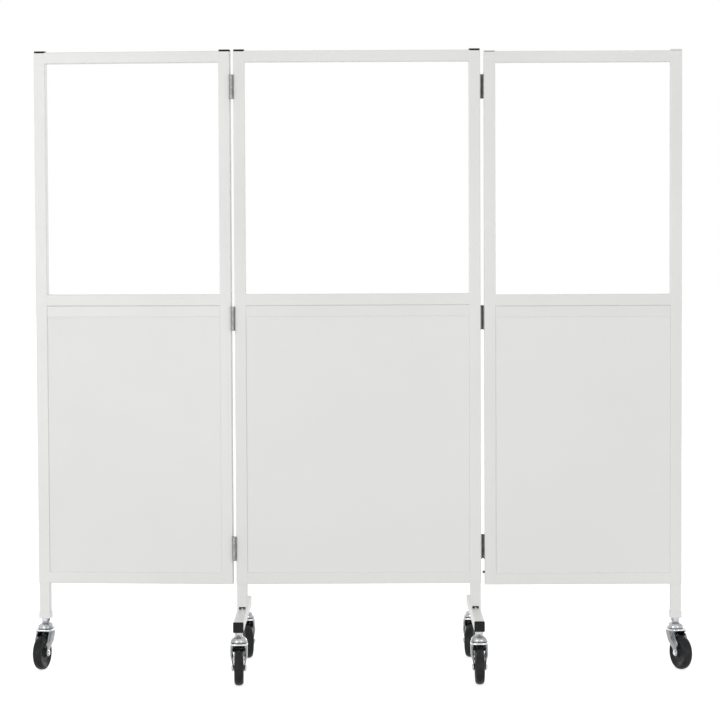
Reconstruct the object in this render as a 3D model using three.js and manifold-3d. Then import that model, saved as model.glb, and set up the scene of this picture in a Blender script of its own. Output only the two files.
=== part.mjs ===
// A ward privacy screen of three hinged panels on six swivel casters.
// Millimetres, +Z up, and -Y is the front. The origin is on the floor, under the middle of
// the screen's overall length and depth. The left wing's hinges stand at the front and the
// right wing's at the back, so the wings fold flat on opposite faces of the centre panel.

import * as THREE from 'three';
import { mergeVertices } from 'three/addons/utils/BufferGeometryUtils.js';
import Module from 'manifold-3d';

const wasm = await Module();
wasm.setup();

// Panels
const panelBottom = 230;
const panelHeight = 1411;
const centreWidth = 650;
const wingWidth = 522;
const panelGap = 10;
const windowHeight = 611;
const leftWingTurnedBack = 4.7;      // degrees, as the screen stands at rest
const rightWingTurnedBack = 0;
const rightWingDrop = 4;             // how far the right wing hangs below the centre panel
const standsLeft = 7;                // how far the centre panel stands left of the origin
const standsBack = 22;               // and how far behind it

// Square frame tube, welded
const tubeSize = 30;
const tubeWall = 1;
const tubeCorner = 2;
const postDrop = 2;                  // a post ends this far below the top rail's upper face
const weldReach = 0.5;               // how far a rail runs into the post's wall
const ventRadius = 4;                // vent hole from each rail into the posts
const innerPostPlate = 2;            // closes the foot of a wing's hinge post

// Fits
const seatGap = 0.3;                 // between pieces that rest on each other
const slideGap = 0.3;                // around a piece that slides into another
const turnGap = 0.5;                 // around pins and axles
const overrun = 5;                   // how far cuts run past the faces they open

// Channel that holds the infill board's upper edge
const channelHeight = 29;
const channelDepth = 27;
const channelWall = 1.6;
const sheetGrip = 18;                // how far the board reaches up into its channel

// Caps on the posts
const capHead = 5;
const thinCapHead = 3;               // the right wing's inner cap is a thinner one
const bevelShare = 0.3;              // how much of a cap's head is bevelled
const capPlug = 14;
const plugCorner = 1;

// Legs and feet
const legWall = 1.6;
const legCorner = 2.6;
const legInsert = 90;                // how far a leg reaches up into its post
const footLength = 500;
const footSize = 27;
const footWall = 1.6;
const footCapHead = 4;
const drainWidth = 18;
const drainHeight = 6;
const collarSize = 31;
const collarHeight = 16;
const collarFloor = 6;

// Hinges
const hingeHeight = 64;
const hingeInset = 95;               // from the panel's ends to an outer hinge's middle
const barrelStandoff = 6;            // hinge axis proud of the panel's face
const leafThickness = 2;
const leafDepth = 26;
const knuckleCount = 5;
const knuckleGap = 0.5;
const pinRadius = 2.4;

// Bump stop in the right hinge gap
const stopRadius = 3.6;
const stopReach = 6;
const stopHeight = 33;               // above the panel's lower edge
const stopOffset = 6;                // in front of the panel's middle plane

// Casters
const casterHeight = 135.5;          // floor to the underside of what it carries
const casterInset = 30;              // from a foot's end to the swivel axis
const wheelRadius = 45;
const wheelWidth = 24;
const treadShoulder = 4;
const rimRadius = 31;
const rimRecess = 3.5;
const hubRadius = 11;
const hubWidth = 27;
const trail = 29;
const axleRadius = 4;
const boltWidth = 13;                // across the flats
const boltHead = 3.5;
const stemRadius = 5.8;
const stemReach = 17;
const weldNutRadius = 10;
const weldNutHeight = 8;
const nutWidth = 19;                 // across the flats
const nutHeight = 9;
const domeTop = 126;
const domeBottom = 107;
const domeNeck = 9;
const domeRadius = 22.4;
const kingpinRadius = 5;
const kingpinHead = 8;
const kingpinHeadHeight = 3.5;
const raceGap = 0.8;
const crownThickness = 5;
const crownRim = 0.6;                // how far the crown's rim stands out from the arms
const crownEdgeShare = 0.3;
const forkPlate = 2.5;
const forkSpan = 22.6;               // outer half width under the crown
const forkWaist = 17;                // outer half width at the axle
const forkBendTop = 74;              // between these two heights the arms draw in
const forkBendBottom = 53;
const forkShoulder = 96;             // below this the fork leans back to the axle
const forkDepthShare = 1.2;          // the fork's depth as a share of its width
const forkShift = 3;                 // its top's middle, behind the swivel axis
const skirtBottom = 79;              // the lower edge of the wall that joins the arms
const forkReach = 22;                // how far the arms reach before and behind their middle
const forkDraw = 70;                 // down to this height, and then they narrow
const forkNeckReach = 11;            // to this reach
const forkNeck = 56;                 // at this height
const forkBoss = 9.5;
const wheelRoom = 1.6;               // between the tyre and the arms' edges

// Where the casters trail at rest, in degrees from the front towards +X
const frontLeftTrail = 2;
const frontRightTrail = 0;
const rearLeftTrail = 10;
const rearRightTrail = -10.5;
const leftWingTrail = -15;
const rightWingTrail = 24;

// Facet counts
const cornerSteps = 1;
const bossSteps = 3;
const bevelSteps = 1;
const pinSides = 8;
const stemSides = 16;
const crownSides = 16;
const wheelSides = 24;
const ventSides = 6;
const hexSides = 6;

// Places worked out from the sizes above
const panelTop = panelBottom + panelHeight;
const postTop = panelTop - postDrop;
const midRailTop = panelTop - tubeSize - windowHeight;
const midRailBottom = midRailTop - tubeSize;
const channelBottom = midRailBottom - seatGap - channelHeight;
const boreSize = tubeSize - 2 * tubeWall;
const capWidth = tubeSize - 2 * (weldReach + seatGap);
const legSize = boreSize - 2 * slideGap;
const sheetThickness = channelDepth - 2 * channelWall - 2 * slideGap;
const hingeX = centreWidth / 2 + panelGap / 2;
const hingeY = tubeSize / 2 + barrelStandoff;
const barrelRadius = panelGap / 2 - seatGap;
const footTop = casterHeight + footSize;
const footPostX = centreWidth / 2 - tubeSize / 2;
const casterY = footLength / 2 - casterInset;
const crownTop = domeBottom - raceGap;
const wingPostX = panelGap / 2 + wingWidth - tubeSize / 2;

function coating(name, color, roughness, metalness) {
  return new THREE.MeshStandardMaterial({ name, color, roughness, metalness });
}

const powderWhite = coating('powder_white', 0xe9e9e7, 0.45, 0);
const sheetWhite = coating('sheet_white', 0xe6e7e6, 0.55, 0);
const capBlack = coating('cap_black', 0x161618, 0.5, 0);
const capGrey = coating('cap_grey', 0x9d9e9f, 0.5, 0);
const capPale = coating('cap_pale', 0xdadada, 0.5, 0);
const zincPlate = coating('zinc_plate', 0xb4b8ba, 0.3, 0.9);
const hingeSteel = coating('hinge_steel', 0x8f908c, 0.4, 0.85);
const rubberGrey = coating('rubber_grey', 0x3c3d40, 0.8, 0);

// Helpers for closed solids

function solid(geometry) {
  const bare = geometry.clone();
  bare.deleteAttribute('normal');
  bare.deleteAttribute('uv');
  const merged = mergeVertices(bare);
  const corners = merged.index.array;
  const faces = [];
  for (let i = 0; i < corners.length; i += 3) {
    const [a, b, c] = [corners[i], corners[i + 1], corners[i + 2]];
    if (a !== b && b !== c && c !== a) faces.push(a, b, c);
  }
  return new wasm.Manifold(new wasm.Mesh({
    numProp: 3,
    vertProperties: new Float32Array(merged.attributes.position.array),
    triVerts: new Uint32Array(faces),
  }));
}

function geometryOf(body) {
  const mesh = body.getMesh();
  const geometry = new THREE.BufferGeometry();
  geometry.setAttribute('position', new THREE.BufferAttribute(mesh.vertProperties, 3));
  geometry.setIndex(new THREE.BufferAttribute(mesh.triVerts, 1));
  geometry.computeVertexNormals();
  return geometry;
}

function joined(pieces) {
  return pieces.map(solid).reduce((whole, next) => whole.add(next));
}

function without(body, cuts) {
  return cuts.map(solid).reduce((rest, cut) => rest.subtract(cut), body);
}

function roundedRectangle(width, height, corner) {
  const x = width / 2 - corner;
  const y = height / 2 - corner;
  const outline = new THREE.Shape();
  outline.absarc(x, -y, corner, -Math.PI / 2, 0);
  outline.absarc(x, y, corner, 0, Math.PI / 2);
  outline.absarc(-x, y, corner, Math.PI / 2, Math.PI);
  outline.absarc(-x, -y, corner, Math.PI, 3 * Math.PI / 2);
  return outline;
}

function polygon(points) {
  return new THREE.Shape(points.map(([x, y]) => new THREE.Vector2(x, y)));
}

// A prism with its section in XY, from z = low to z = high.
function upright(outline, low, high, steps = cornerSteps) {
  const prism = new THREE.ExtrudeGeometry(outline, {
    depth: high - low, bevelEnabled: false, curveSegments: steps,
  });
  return prism.translate(0, 0, low);
}

// The section's x becomes Y and its y becomes Z, from x = low to x = high.
function alongX(outline, low, high, steps = cornerSteps) {
  const length = high - low;
  return upright(outline, 0, length, steps)
    .rotateX(Math.PI / 2).rotateZ(Math.PI / 2).translate(low, 0, 0);
}

// The section's x stays X and its y becomes Z, from y = low to y = high.
function alongY(outline, low, high) {
  return upright(outline, 0, high - low).rotateX(Math.PI / 2).translate(0, high, 0);
}

function box(low, high) {
  const size = high.map((value, i) => value - low[i]);
  const middle = high.map((value, i) => (value + low[i]) / 2);
  return new THREE.BoxGeometry(...size).translate(...middle);
}

function rod(radius, low, high, sides) {
  const length = high - low;
  const middle = (low + high) / 2;
  return new THREE.CylinderGeometry(radius, radius, length, sides)
    .rotateX(Math.PI / 2).translate(0, 0, middle);
}

function rodAlongX(radius, low, high, sides) {
  return rod(radius, low, high, sides).rotateY(Math.PI / 2);
}

// A hexagon's corner radius from its width across the flats.
function hexRadius(width) {
  return width / 2 / Math.cos(Math.PI / hexSides);
}

function turned(points, sides) {
  const profile = points.map(([radius, height]) => new THREE.Vector2(radius, height));
  return new THREE.LatheGeometry(profile, sides).rotateX(Math.PI / 2);
}

function addPiece(parent, name, shape, material) {
  const geometry = shape.isBufferGeometry ? shape : geometryOf(shape);
  const piece = new THREE.Mesh(geometry, material.clone());
  piece.name = name;
  parent.add(piece);
  return piece;
}

// The cut for a square bore that runs up at x.
function boreAlongZ(x, size, low, high) {
  return box([x - size / 2, -size / 2, low], [x + size / 2, size / 2, high]);
}

// Panel frame: two posts and three rails of square tube, welded. It spans x = 0 to width.
function panelFrame(width, platedPosts) {
  const tube = roundedRectangle(tubeSize, tubeSize, tubeCorner);
  const bore = roundedRectangle(boreSize, boreSize, tubeCorner - tubeWall);
  const postXs = [tubeSize / 2, width - tubeSize / 2];
  const railTops = [panelTop, midRailTop, panelBottom + tubeSize];
  const outside = [];
  const hollow = [];
  postXs.forEach((x, i) => {
    const boreBottom = platedPosts[i] ? panelBottom + innerPostPlate : panelBottom - overrun;
    outside.push(upright(tube, panelBottom, postTop).translate(x, 0, 0));
    hollow.push(upright(bore, boreBottom, postTop + overrun).translate(x, 0, 0));
  });
  for (const top of railTops) {
    const z = top - tubeSize / 2;
    const inside = [tubeSize, width - tubeSize];
    outside.push(alongX(tube, inside[0] - weldReach, inside[1] + weldReach).translate(0, 0, z));
    hollow.push(alongX(bore, ...inside).translate(0, 0, z));
    hollow.push(rodAlongX(ventRadius, ...postXs, ventSides).translate(0, 0, z));
  }
  return without(joined(outside), hollow);
}

// The infill board fills the frame below the channel and reaches up into it.
function infillSheet(width) {
  const side = tubeSize + slideGap;
  const bottom = panelBottom + tubeSize + seatGap;
  const top = channelBottom + sheetGrip;
  return box([side, -sheetThickness / 2, bottom], [width - side, sheetThickness / 2, top]);
}

// A channel under the mid rail, open below where the board enters.
function headChannel(width) {
  const y = channelDepth / 2;
  const inner = y - channelWall;
  const section = polygon([
    [-y, 0], [-inner, 0], [-inner, channelHeight - channelWall],
    [inner, channelHeight - channelWall], [inner, 0], [y, 0],
    [y, channelHeight], [-y, channelHeight],
  ]);
  const side = tubeSize + seatGap;
  return alongX(section, side, width - side).translate(0, 0, channelBottom);
}

// A plastic plug with a bevelled head, built with z = 0 at the end of its tube.
function endCap(width, head, bore, corner) {
  const bevel = head * bevelShare;
  const lid = new THREE.ExtrudeGeometry(roundedRectangle(width, width, corner), {
    depth: head - bevel, bevelThickness: bevel, bevelSize: bevel, bevelOffset: -bevel,
    bevelSegments: bevelSteps, curveSegments: cornerSteps,
  });
  const under = box([-width, -width, -bevel - overrun], [width, width, 0]);
  const plugSize = bore - 2 * slideGap;
  const plug = upright(roundedRectangle(plugSize, plugSize, plugCorner), -capPlug, bevel);
  return without(solid(lid), [under]).add(solid(plug));
}

function postCap(head) {
  return endCap(capWidth, head, boreSize, tubeCorner).translate([0, 0, postTop + seatGap]);
}

// A square leg tube that slides up into its post.
function legTube(bottom, drained) {
  const outer = roundedRectangle(legSize, legSize, legCorner);
  const top = panelBottom + legInsert;
  const cuts = [boreAlongZ(0, legSize - 2 * legWall, bottom - overrun, top + overrun)];
  if (drained) {
    const reach = legSize / 2 + overrun;
    const half = drainWidth / 2;
    cuts.push(box([-half, -reach, bottom - overrun], [half, reach, bottom + drainHeight]));
  }
  return without(solid(upright(outer, bottom, top)), cuts);
}

// The cup at the lower end of a wing's leg, with the hole for the caster's stem.
function legCollar() {
  const outer = roundedRectangle(collarSize, collarSize, tubeCorner);
  const top = casterHeight + collarHeight;
  return without(solid(upright(outer, casterHeight, top)), [
    boreAlongZ(0, legSize + 2 * slideGap, casterHeight + collarFloor, top + overrun),
    rod(stemRadius + turnGap, casterHeight - overrun, top + overrun, stemSides),
  ]);
}

// A foot runs front to back under the centre panel. Weld nuts inside it take the stems.
function footBar() {
  const outer = roundedRectangle(footSize, footSize, legCorner);
  const end = footLength / 2 - footCapHead - seatGap;
  const middle = casterHeight + footSize / 2;
  const boreHalf = footSize / 2 - footWall;
  const bore = box(
    [-boreHalf, -end - overrun, middle - boreHalf],
    [boreHalf, end + overrun, middle + boreHalf],
  );
  const nutTop = casterHeight + footWall + weldNutHeight;
  const hole = rod(stemRadius + turnGap, casterHeight - overrun, nutTop + overrun, stemSides);
  const nut = rod(weldNutRadius, casterHeight + footWall / 2, nutTop, stemSides);
  let bar = without(solid(alongY(outer, -end, end).translate(0, 0, middle)), [bore]);
  for (const y of [-casterY, casterY]) {
    bar = bar.add(solid(nut).translate([0, y, 0])).subtract(solid(hole).translate([0, y, 0]));
  }
  return bar;
}

function footCap() {
  const cap = geometryOf(endCap(footSize, footCapHead, footSize - 2 * footWall, legCorner));
  const end = footLength / 2 - footCapHead;
  return cap.rotateX(Math.PI / 2).translate(0, -end, casterHeight + footSize / 2);
}

// One leaf of a butt hinge, about its own axis at x = y = 0. The plate runs towards -Y on
// the side given, and the leaf owns every second knuckle from the first one given.
function hingeLeaf(side, firstKnuckle) {
  const bottom = -hingeHeight / 2;
  const pitch = hingeHeight / knuckleCount;
  const faces = [side * (barrelRadius - leafThickness), side * barrelRadius];
  const [lowX, highX] = faces.sort((a, b) => a - b);
  const plateEdge = -barrelRadius - knuckleGap;
  const pieces = [box([lowX, -leafDepth, bottom], [highX, plateEdge, -bottom])];
  for (let i = firstKnuckle; i < knuckleCount; i += 2) {
    const low = bottom + i * pitch + (i > 0 ? knuckleGap / 2 : 0);
    const high = bottom + (i + 1) * pitch - (i < knuckleCount - 1 ? knuckleGap / 2 : 0);
    pieces.push(rod(barrelRadius, low, high, pinSides));
    pieces.push(box([lowX, plateEdge - knuckleGap, low], [highX, 0, high]));
  }
  return joined(pieces);
}

// The centre panel's leaf holds the pin, and the wing's leaf turns on it.
function fixedLeaf() {
  const pin = rod(pinRadius, -hingeHeight / 2, hingeHeight / 2, pinSides);
  return hingeLeaf(-1, 0).add(solid(pin));
}

function wingLeaf() {
  const bore = rod(pinRadius + turnGap, -hingeHeight, hingeHeight, pinSides);
  return without(hingeLeaf(1, 1), [bore]);
}

// A rubber stop on the right wing's inner post, facing the centre panel.
function bumpStop() {
  const domed = stopRadius / 2;
  const button = turned([
    [0, 0], [stopRadius, 0], [stopRadius, stopReach - domed],
    [domed, stopReach], [0, stopReach],
  ], pinSides);
  return button.rotateY(-Math.PI / 2).translate(panelGap / 2 - seatGap, 0, 0);
}

// Stem, lock nut, upper race and kingpin: the part of a caster that doesn't swivel.
function casterStem() {
  const headTop = crownTop - crownThickness - raceGap / 2;
  const nutBottom = casterHeight - nutHeight;
  const domeSpan = domeRadius - domeNeck;
  const domeRise = domeTop - domeBottom;
  const domeShares = [[0.9, 0.3], [0.5, 0.85]];
  const domePoints = domeShares.map(([out, up]) => [
    domeNeck + domeSpan * out, domeBottom + domeRise * up,
  ]);
  const body = turned([
    [0, headTop - kingpinHeadHeight], [kingpinHead, headTop - kingpinHeadHeight],
    [kingpinHead, headTop], [kingpinRadius, headTop], [kingpinRadius, domeBottom],
    [domeRadius, domeBottom], ...domePoints, [domeNeck, domeTop],
    [domeNeck, nutBottom], [stemRadius, nutBottom],
    [stemRadius, casterHeight + stemReach], [0, casterHeight + stemReach],
  ], stemSides);
  const nut = rod(hexRadius(nutWidth), nutBottom, casterHeight - seatGap, hexSides);
  return joined([body, nut]);
}

// Where the fork's middle stands at a height: it leans back from the shoulder to the axle.
function forkMiddle(height) {
  const leanShare = Math.max(0, (forkShoulder - height) / (forkShoulder - wheelRadius));
  return forkShift + leanShare * (trail - forkShift);
}

// Draws a round body out to the fork's oval, along its leaning middle.
function drawnOut(body) {
  const places = body.attributes.position;
  for (let i = 0; i < places.count; i += 1) {
    const middle = forkMiddle(places.getZ(i));
    places.setY(i, middle + places.getY(i) * forkDepthShare);
  }
  return solid(body);
}

// The drawn cup that the fork is cut from. The inset gives its inner surface.
function forkCup(inset) {
  const waist = forkWaist - inset;
  const span = forkSpan - inset;
  const top = crownTop - inset;
  const low = wheelRadius - forkBoss - overrun - inset;
  return drawnOut(turned([
    [0, low], [waist, low], [waist, forkBendBottom], [span, forkBendTop],
    [span, forkShoulder], [span, top], [0, top],
  ], crownSides));
}

// The fork's oval top, with its edges rounded off.
function forkCrown() {
  const radius = forkSpan + crownRim;
  const bottom = crownTop - crownThickness;
  const edge = crownThickness * crownEdgeShare;
  return drawnOut(turned([
    [0, bottom], [radius - edge, bottom], [radius, bottom + edge],
    [radius, crownTop - edge], [radius - edge, crownTop], [0, crownTop],
  ], crownSides));
}

// The angle at which a straight edge from a point meets the boss round the axle.
function bossAngle(y, z, side) {
  const across = y - trail;
  const up = z - wheelRadius;
  const opening = Math.acos(forkBoss / Math.hypot(across, up));
  return Math.atan2(up, across) + side * opening;
}

// The fork seen from the side: as wide as its wall down to where it narrows to the axle.
function forkSide() {
  const outline = new THREE.Shape();
  const neckMiddle = forkMiddle(forkNeck);
  const drawMiddle = forkMiddle(forkDraw);
  const start = bossAngle(neckMiddle - forkNeckReach, forkNeck, 1);
  const end = bossAngle(neckMiddle + forkNeckReach, forkNeck, -1) + 2 * Math.PI;
  const wide = forkSpan * forkDepthShare + overrun;
  outline.moveTo(-wide, crownTop + overrun);
  outline.lineTo(-wide, skirtBottom);
  outline.lineTo(forkMiddle(skirtBottom) - forkReach, skirtBottom);
  outline.lineTo(drawMiddle - forkReach, forkDraw);
  outline.lineTo(neckMiddle - forkNeckReach, forkNeck);
  outline.absarc(trail, wheelRadius, forkBoss, start, end);
  outline.lineTo(neckMiddle + forkNeckReach, forkNeck);
  outline.lineTo(drawMiddle + forkReach, forkDraw);
  outline.lineTo(forkShift + forkReach, forkShoulder);
  outline.lineTo(wide + forkShift, forkShoulder);
  outline.lineTo(wide + forkShift, crownTop + overrun);
  return outline;
}

function axleBolt() {
  const end = forkWaist + boltHead;
  const seat = forkWaist - forkPlate / 2;
  const head = hexRadius(boltWidth);
  return joined([
    rodAlongX(axleRadius, -end, end, pinSides),
    rodAlongX(head, -end, -seat, hexSides),
    rodAlongX(head, seat, end, hexSides),
  ]);
}

// The pressed fork with its crown and its axle bolt. The wheel trails towards +Y, in a slot
// that is cut through the cup. Ahead of the swivel axis a wall still joins the arms.
function casterFork() {
  const slot = wheelWidth / 2 + wheelRoom;
  const reach = trail + forkSpan * forkDepthShare + overrun;
  const wide = forkSpan + overrun;
  const crownBottom = crownTop - crownThickness;
  const arms = forkCup(0)
    .subtract(forkCup(forkPlate))
    .intersect(solid(alongX(forkSide(), -wide, wide, bossSteps)))
    .subtract(solid(box([-slot, -reach, 0], [slot, reach, skirtBottom])))
    .subtract(solid(box([-slot, 0, 0], [slot, reach, crownBottom])));
  const hole = rod(kingpinRadius + turnGap, crownBottom - overrun, crownTop + overrun, stemSides);
  return without(arms.add(forkCrown()), [hole]).add(axleBolt().translate([0, trail, wheelRadius]));
}

// Tyre and hub, turned about X with its middle at the origin.
function casterWheel() {
  const hub = hubWidth / 2;
  const side = wheelWidth / 2;
  const face = side - rimRecess;
  const tread = side - treadShoulder;
  const shoulder = wheelRadius - treadShoulder / 2;
  const bore = axleRadius + turnGap;
  return turned([
    [bore, -hub], [hubRadius, -hub], [hubRadius, -face], [rimRadius, -face],
    [rimRadius + rimRecess, -side], [shoulder, -side], [wheelRadius, -tread],
    [wheelRadius, tread], [shoulder, side], [rimRadius + rimRecess, side],
    [rimRadius, face], [hubRadius, face], [hubRadius, hub], [bore, hub], [bore, -hub],
  ], wheelSides).rotateY(Math.PI / 2);
}

// A caster on its carrier. Its heading is given against the room, so the carrier's own
// turn is taken off.
function addCaster(parent, name, x, y, trailDegrees, carrierTurn) {
  const place = new THREE.Group();
  place.position.set(x, y, 0);
  parent.add(place);
  addPiece(place, `${name}_caster_stem`, casterStem(), zincPlate);
  const swivel = new THREE.Group();
  swivel.rotation.z = Math.PI + THREE.MathUtils.degToRad(trailDegrees) - carrierTurn;
  place.add(swivel);
  addPiece(swivel, `${name}_caster_fork`, casterFork(), zincPlate);
  const wheel = addPiece(swivel, `${name}_caster_wheel`, casterWheel(), rubberGrey);
  wheel.position.set(0, trail, wheelRadius);
}

const hingePlaces = [
  ['upper', panelTop - hingeInset],
  ['middle', (panelTop + panelBottom) / 2],
  ['lower', panelBottom + hingeInset],
];

function addCentrePanel(screen) {
  const panel = new THREE.Group();
  panel.position.x = -centreWidth / 2;
  screen.add(panel);
  addPiece(panel, 'centre_frame', panelFrame(centreWidth, [false, false]), powderWhite);
  addPiece(panel, 'centre_sheet', infillSheet(centreWidth), sheetWhite);
  addPiece(panel, 'centre_head_channel', headChannel(centreWidth), powderWhite);
  for (const [name, side] of [['left', -1], ['right', 1]]) {
    const x = side * footPostX;
    addPiece(screen, `centre_${name}_post_cap`, postCap(capHead), capBlack).position.x = x;
    addPiece(screen, `${name}_foot_leg`, legTube(footTop + seatGap, true), powderWhite).position.x = x;
    addPiece(screen, `${name}_foot_bar`, footBar(), powderWhite).position.x = x;
    addPiece(screen, `${name}_foot_front_cap`, footCap(), capBlack).position.x = x;
    const rearCap = addPiece(screen, `${name}_foot_rear_cap`, footCap(), capBlack);
    rearCap.rotation.z = Math.PI;
    rearCap.position.x = x;
  }
  addCaster(screen, 'left_front', -footPostX, -casterY, frontLeftTrail, 0);
  addCaster(screen, 'right_front', footPostX, -casterY, frontRightTrail, 0);
  addCaster(screen, 'left_rear', -footPostX, casterY, rearLeftTrail, 0);
  addCaster(screen, 'right_rear', footPostX, casterY, rearRightTrail, 0);
}

// A wing in its own frame: the hinge axis at x = y = 0, the panel towards +X and its
// middle plane at y = -hingeY. The left wing is the right one turned half round.
function addWing(screen, name, turnedBack, headings) {
  const left = name === 'left';
  const halfTurn = left ? Math.PI : 0;
  const side = left ? -1 : 1;
  const turn = halfTurn - THREE.MathUtils.degToRad(turnedBack);
  const wing = new THREE.Group();
  wing.position.set(side * hingeX, side * hingeY, 0);
  wing.rotation.z = turn;
  screen.add(wing);
  const panel = new THREE.Group();
  panel.position.set(panelGap / 2, -hingeY, left ? 0 : -rightWingDrop);
  wing.add(panel);
  addPiece(panel, `${name}_wing_frame`, panelFrame(wingWidth, [true, false]), powderWhite);
  addPiece(panel, `${name}_wing_sheet`, infillSheet(wingWidth), sheetWhite);
  addPiece(panel, `${name}_wing_head_channel`, headChannel(wingWidth), powderWhite);
  const innerCap = left ? postCap(capHead) : postCap(thinCapHead);
  const innerX = tubeSize / 2;
  const outerX = wingWidth - tubeSize / 2;
  addPiece(panel, `${name}_wing_inner_cap`, innerCap, left ? capBlack : capGrey).position.x = innerX;
  const outerCap = addPiece(panel, `${name}_wing_outer_cap`, postCap(capHead), left ? capBlack : capPale);
  outerCap.position.x = outerX;
  const legBottom = casterHeight + collarFloor + seatGap;
  const leg = addPiece(wing, `${name}_wing_leg`, legTube(legBottom, false), powderWhite);
  leg.position.set(wingPostX, -hingeY, 0);
  const collar = addPiece(wing, `${name}_wing_collar`, legCollar(), powderWhite);
  collar.position.set(wingPostX, -hingeY, 0);
  addCaster(wing, `${name}_wing`, wingPostX, -hingeY, headings, turn);
  const fixedLeaves = new THREE.Group();
  fixedLeaves.position.copy(wing.position);
  fixedLeaves.rotation.z = halfTurn;
  screen.add(fixedLeaves);
  for (const [place, z] of hingePlaces) {
    const label = `${name}_${place}_hinge`;
    addPiece(fixedLeaves, `${label}_fixed_leaf`, fixedLeaf(), hingeSteel).position.z = z;
    addPiece(wing, `${label}_wing_leaf`, wingLeaf(), hingeSteel).position.z = z;
  }
  return wing;
}

const screen = new THREE.Group();
screen.position.set(-standsLeft, standsBack, 0);
addCentrePanel(screen);
addWing(screen, 'left', leftWingTurnedBack, leftWingTrail);
const rightWing = addWing(screen, 'right', rightWingTurnedBack, rightWingTrail);
const stop = addPiece(rightWing, 'right_wing_bump_stop', bumpStop(), capBlack);
stop.position.set(0, -hingeY - stopOffset, panelBottom + stopHeight - rightWingDrop);

export default screen;
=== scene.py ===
# A ward privacy screen: three hinged panels of square tube on six swivel casters.
# Lengths are millimetres until a piece is placed. +Z is up and the front faces -Y.

import math
import bpy
import bmesh
from mathutils import Matrix, Vector


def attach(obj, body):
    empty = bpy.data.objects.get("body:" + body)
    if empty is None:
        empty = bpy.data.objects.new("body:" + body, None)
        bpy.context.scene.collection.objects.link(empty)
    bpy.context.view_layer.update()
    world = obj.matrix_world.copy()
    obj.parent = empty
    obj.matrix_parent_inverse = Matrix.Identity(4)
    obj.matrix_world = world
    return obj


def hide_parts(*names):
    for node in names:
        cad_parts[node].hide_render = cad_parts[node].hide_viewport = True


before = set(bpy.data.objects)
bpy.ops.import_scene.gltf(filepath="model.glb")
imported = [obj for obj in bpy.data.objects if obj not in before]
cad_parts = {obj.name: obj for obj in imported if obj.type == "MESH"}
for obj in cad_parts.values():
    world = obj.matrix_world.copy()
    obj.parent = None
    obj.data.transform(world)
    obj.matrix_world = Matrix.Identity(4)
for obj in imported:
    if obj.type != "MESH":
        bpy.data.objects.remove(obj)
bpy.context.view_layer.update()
print("frame loaded with", len(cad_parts), "nodes")

metre = 0.001  # one millimetre in metres
tiny = 0.000001  # heights or radii closer than this are the same
overrun = 5  # how far a cut runs past what it cuts

screenPlace = {
    "standsLeft": 7,
    "standsBack": 22,
    "centreWidth": 650,
    "wingWidth": 522,
    "panelGap": 10,
    "hingeY": 21,
    "leftWingTurnedBack": 4.7,
    "rightWingDrop": 4,
    "tubeSize": 30,
    "footLength": 500,
    "casterInset": 30,
    "casterHeight": 135.5,
}
wingPostX = screenPlace["panelGap"] / 2 + screenPlace["wingWidth"] - screenPlace["tubeSize"] / 2
footPostX = screenPlace["centreWidth"] / 2 - screenPlace["tubeSize"] / 2
wingPostY = -screenPlace["hingeY"]
casterY = screenPlace["footLength"] / 2 - screenPlace["casterInset"]


def screenPlaces():
    s = screenPlace
    hingeX = (s["centreWidth"] + s["panelGap"]) / 2
    middle = Matrix.Translation((-s["standsLeft"], s["standsBack"], 0))
    left = middle @ Matrix.Translation((-hingeX, -s["hingeY"], 0))
    right = middle @ Matrix.Translation((hingeX, s["hingeY"], 0))
    turn = math.pi - math.radians(s["leftWingTurnedBack"])
    return {
        "centre": middle,
        "leftHinge": left @ Matrix.Rotation(math.pi, 4, "Z"),
        "rightHinge": right,
        "leftWing": left @ Matrix.Rotation(turn, 4, "Z"),
        "rightWing": right,
    }


places = screenPlaces()

# (u, v, w) of an outline and its run turned to lie along X, and along Y
runAlongX = Matrix(((0, 0, 1, 0), (1, 0, 0, 0), (0, 1, 0, 0), (0, 0, 0, 1)))
runAlongY = Matrix(((1, 0, 0, 0), (0, 0, 1, 0), (0, 1, 0, 0), (0, 0, 0, 1)))


def moved(x=0, y=0, z=0):
    return Matrix.Translation((x, y, z))


def turnedAboutZ(degrees):
    return Matrix.Rotation(math.radians(degrees), 4, "Z")


def polar(radius, turn):
    return radius * math.cos(turn), radius * math.sin(turn)


def roundedOutline(points, radii, steps=5):
    outline = []
    for i, point in enumerate(points):
        radius = radii[i] if isinstance(radii, (list, tuple)) else radii
        here = Vector(point)
        if radius <= 0:
            outline.append(here)
            continue
        back = (Vector(points[i - 1]) - here).normalized()
        ahead = (Vector(points[(i + 1) % len(points)]) - here).normalized()
        half = back.angle(ahead) / 2
        start = here + back * radius / math.tan(half)
        centre = here + (back + ahead).normalized() * radius / math.sin(half)
        sign = 1 if back.x * ahead.y - back.y * ahead.x < 0 else -1
        for k in range(steps + 1):
            turn = sign * (math.pi - 2 * half) * k / steps
            outline.append(centre + Matrix.Rotation(turn, 2) @ (start - centre))
    return outline


def squareOutline(width, depth, corner, steps=5):
    x, y = width / 2, depth / 2
    return roundedOutline([(-x, -y), (x, -y), (x, y), (-x, y)], corner, steps)


def hexOutline(acrossFlats):
    reach = acrossFlats / 2 / math.cos(math.pi / 6)
    return [Vector(polar(reach, k * math.pi / 3)) for k in range(6)]


def addLoop(bm, points):
    return [bm.verts.new(point) for point in points]


def joinLoops(bm, lower, upper):
    for i in range(len(lower)):
        j = (i + 1) % len(lower)
        bm.faces.new((lower[i], lower[j], upper[j], upper[i]))


def lofted(rings):
    # a solid through rings of points, closed at both ends
    bm = bmesh.new()
    loops = [addLoop(bm, ring) for ring in rings]
    for lower, upper in zip(loops, loops[1:]):
        joinLoops(bm, lower, upper)
    bm.faces.new(loops[0][::-1])
    bm.faces.new(loops[-1])
    return bm


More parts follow.
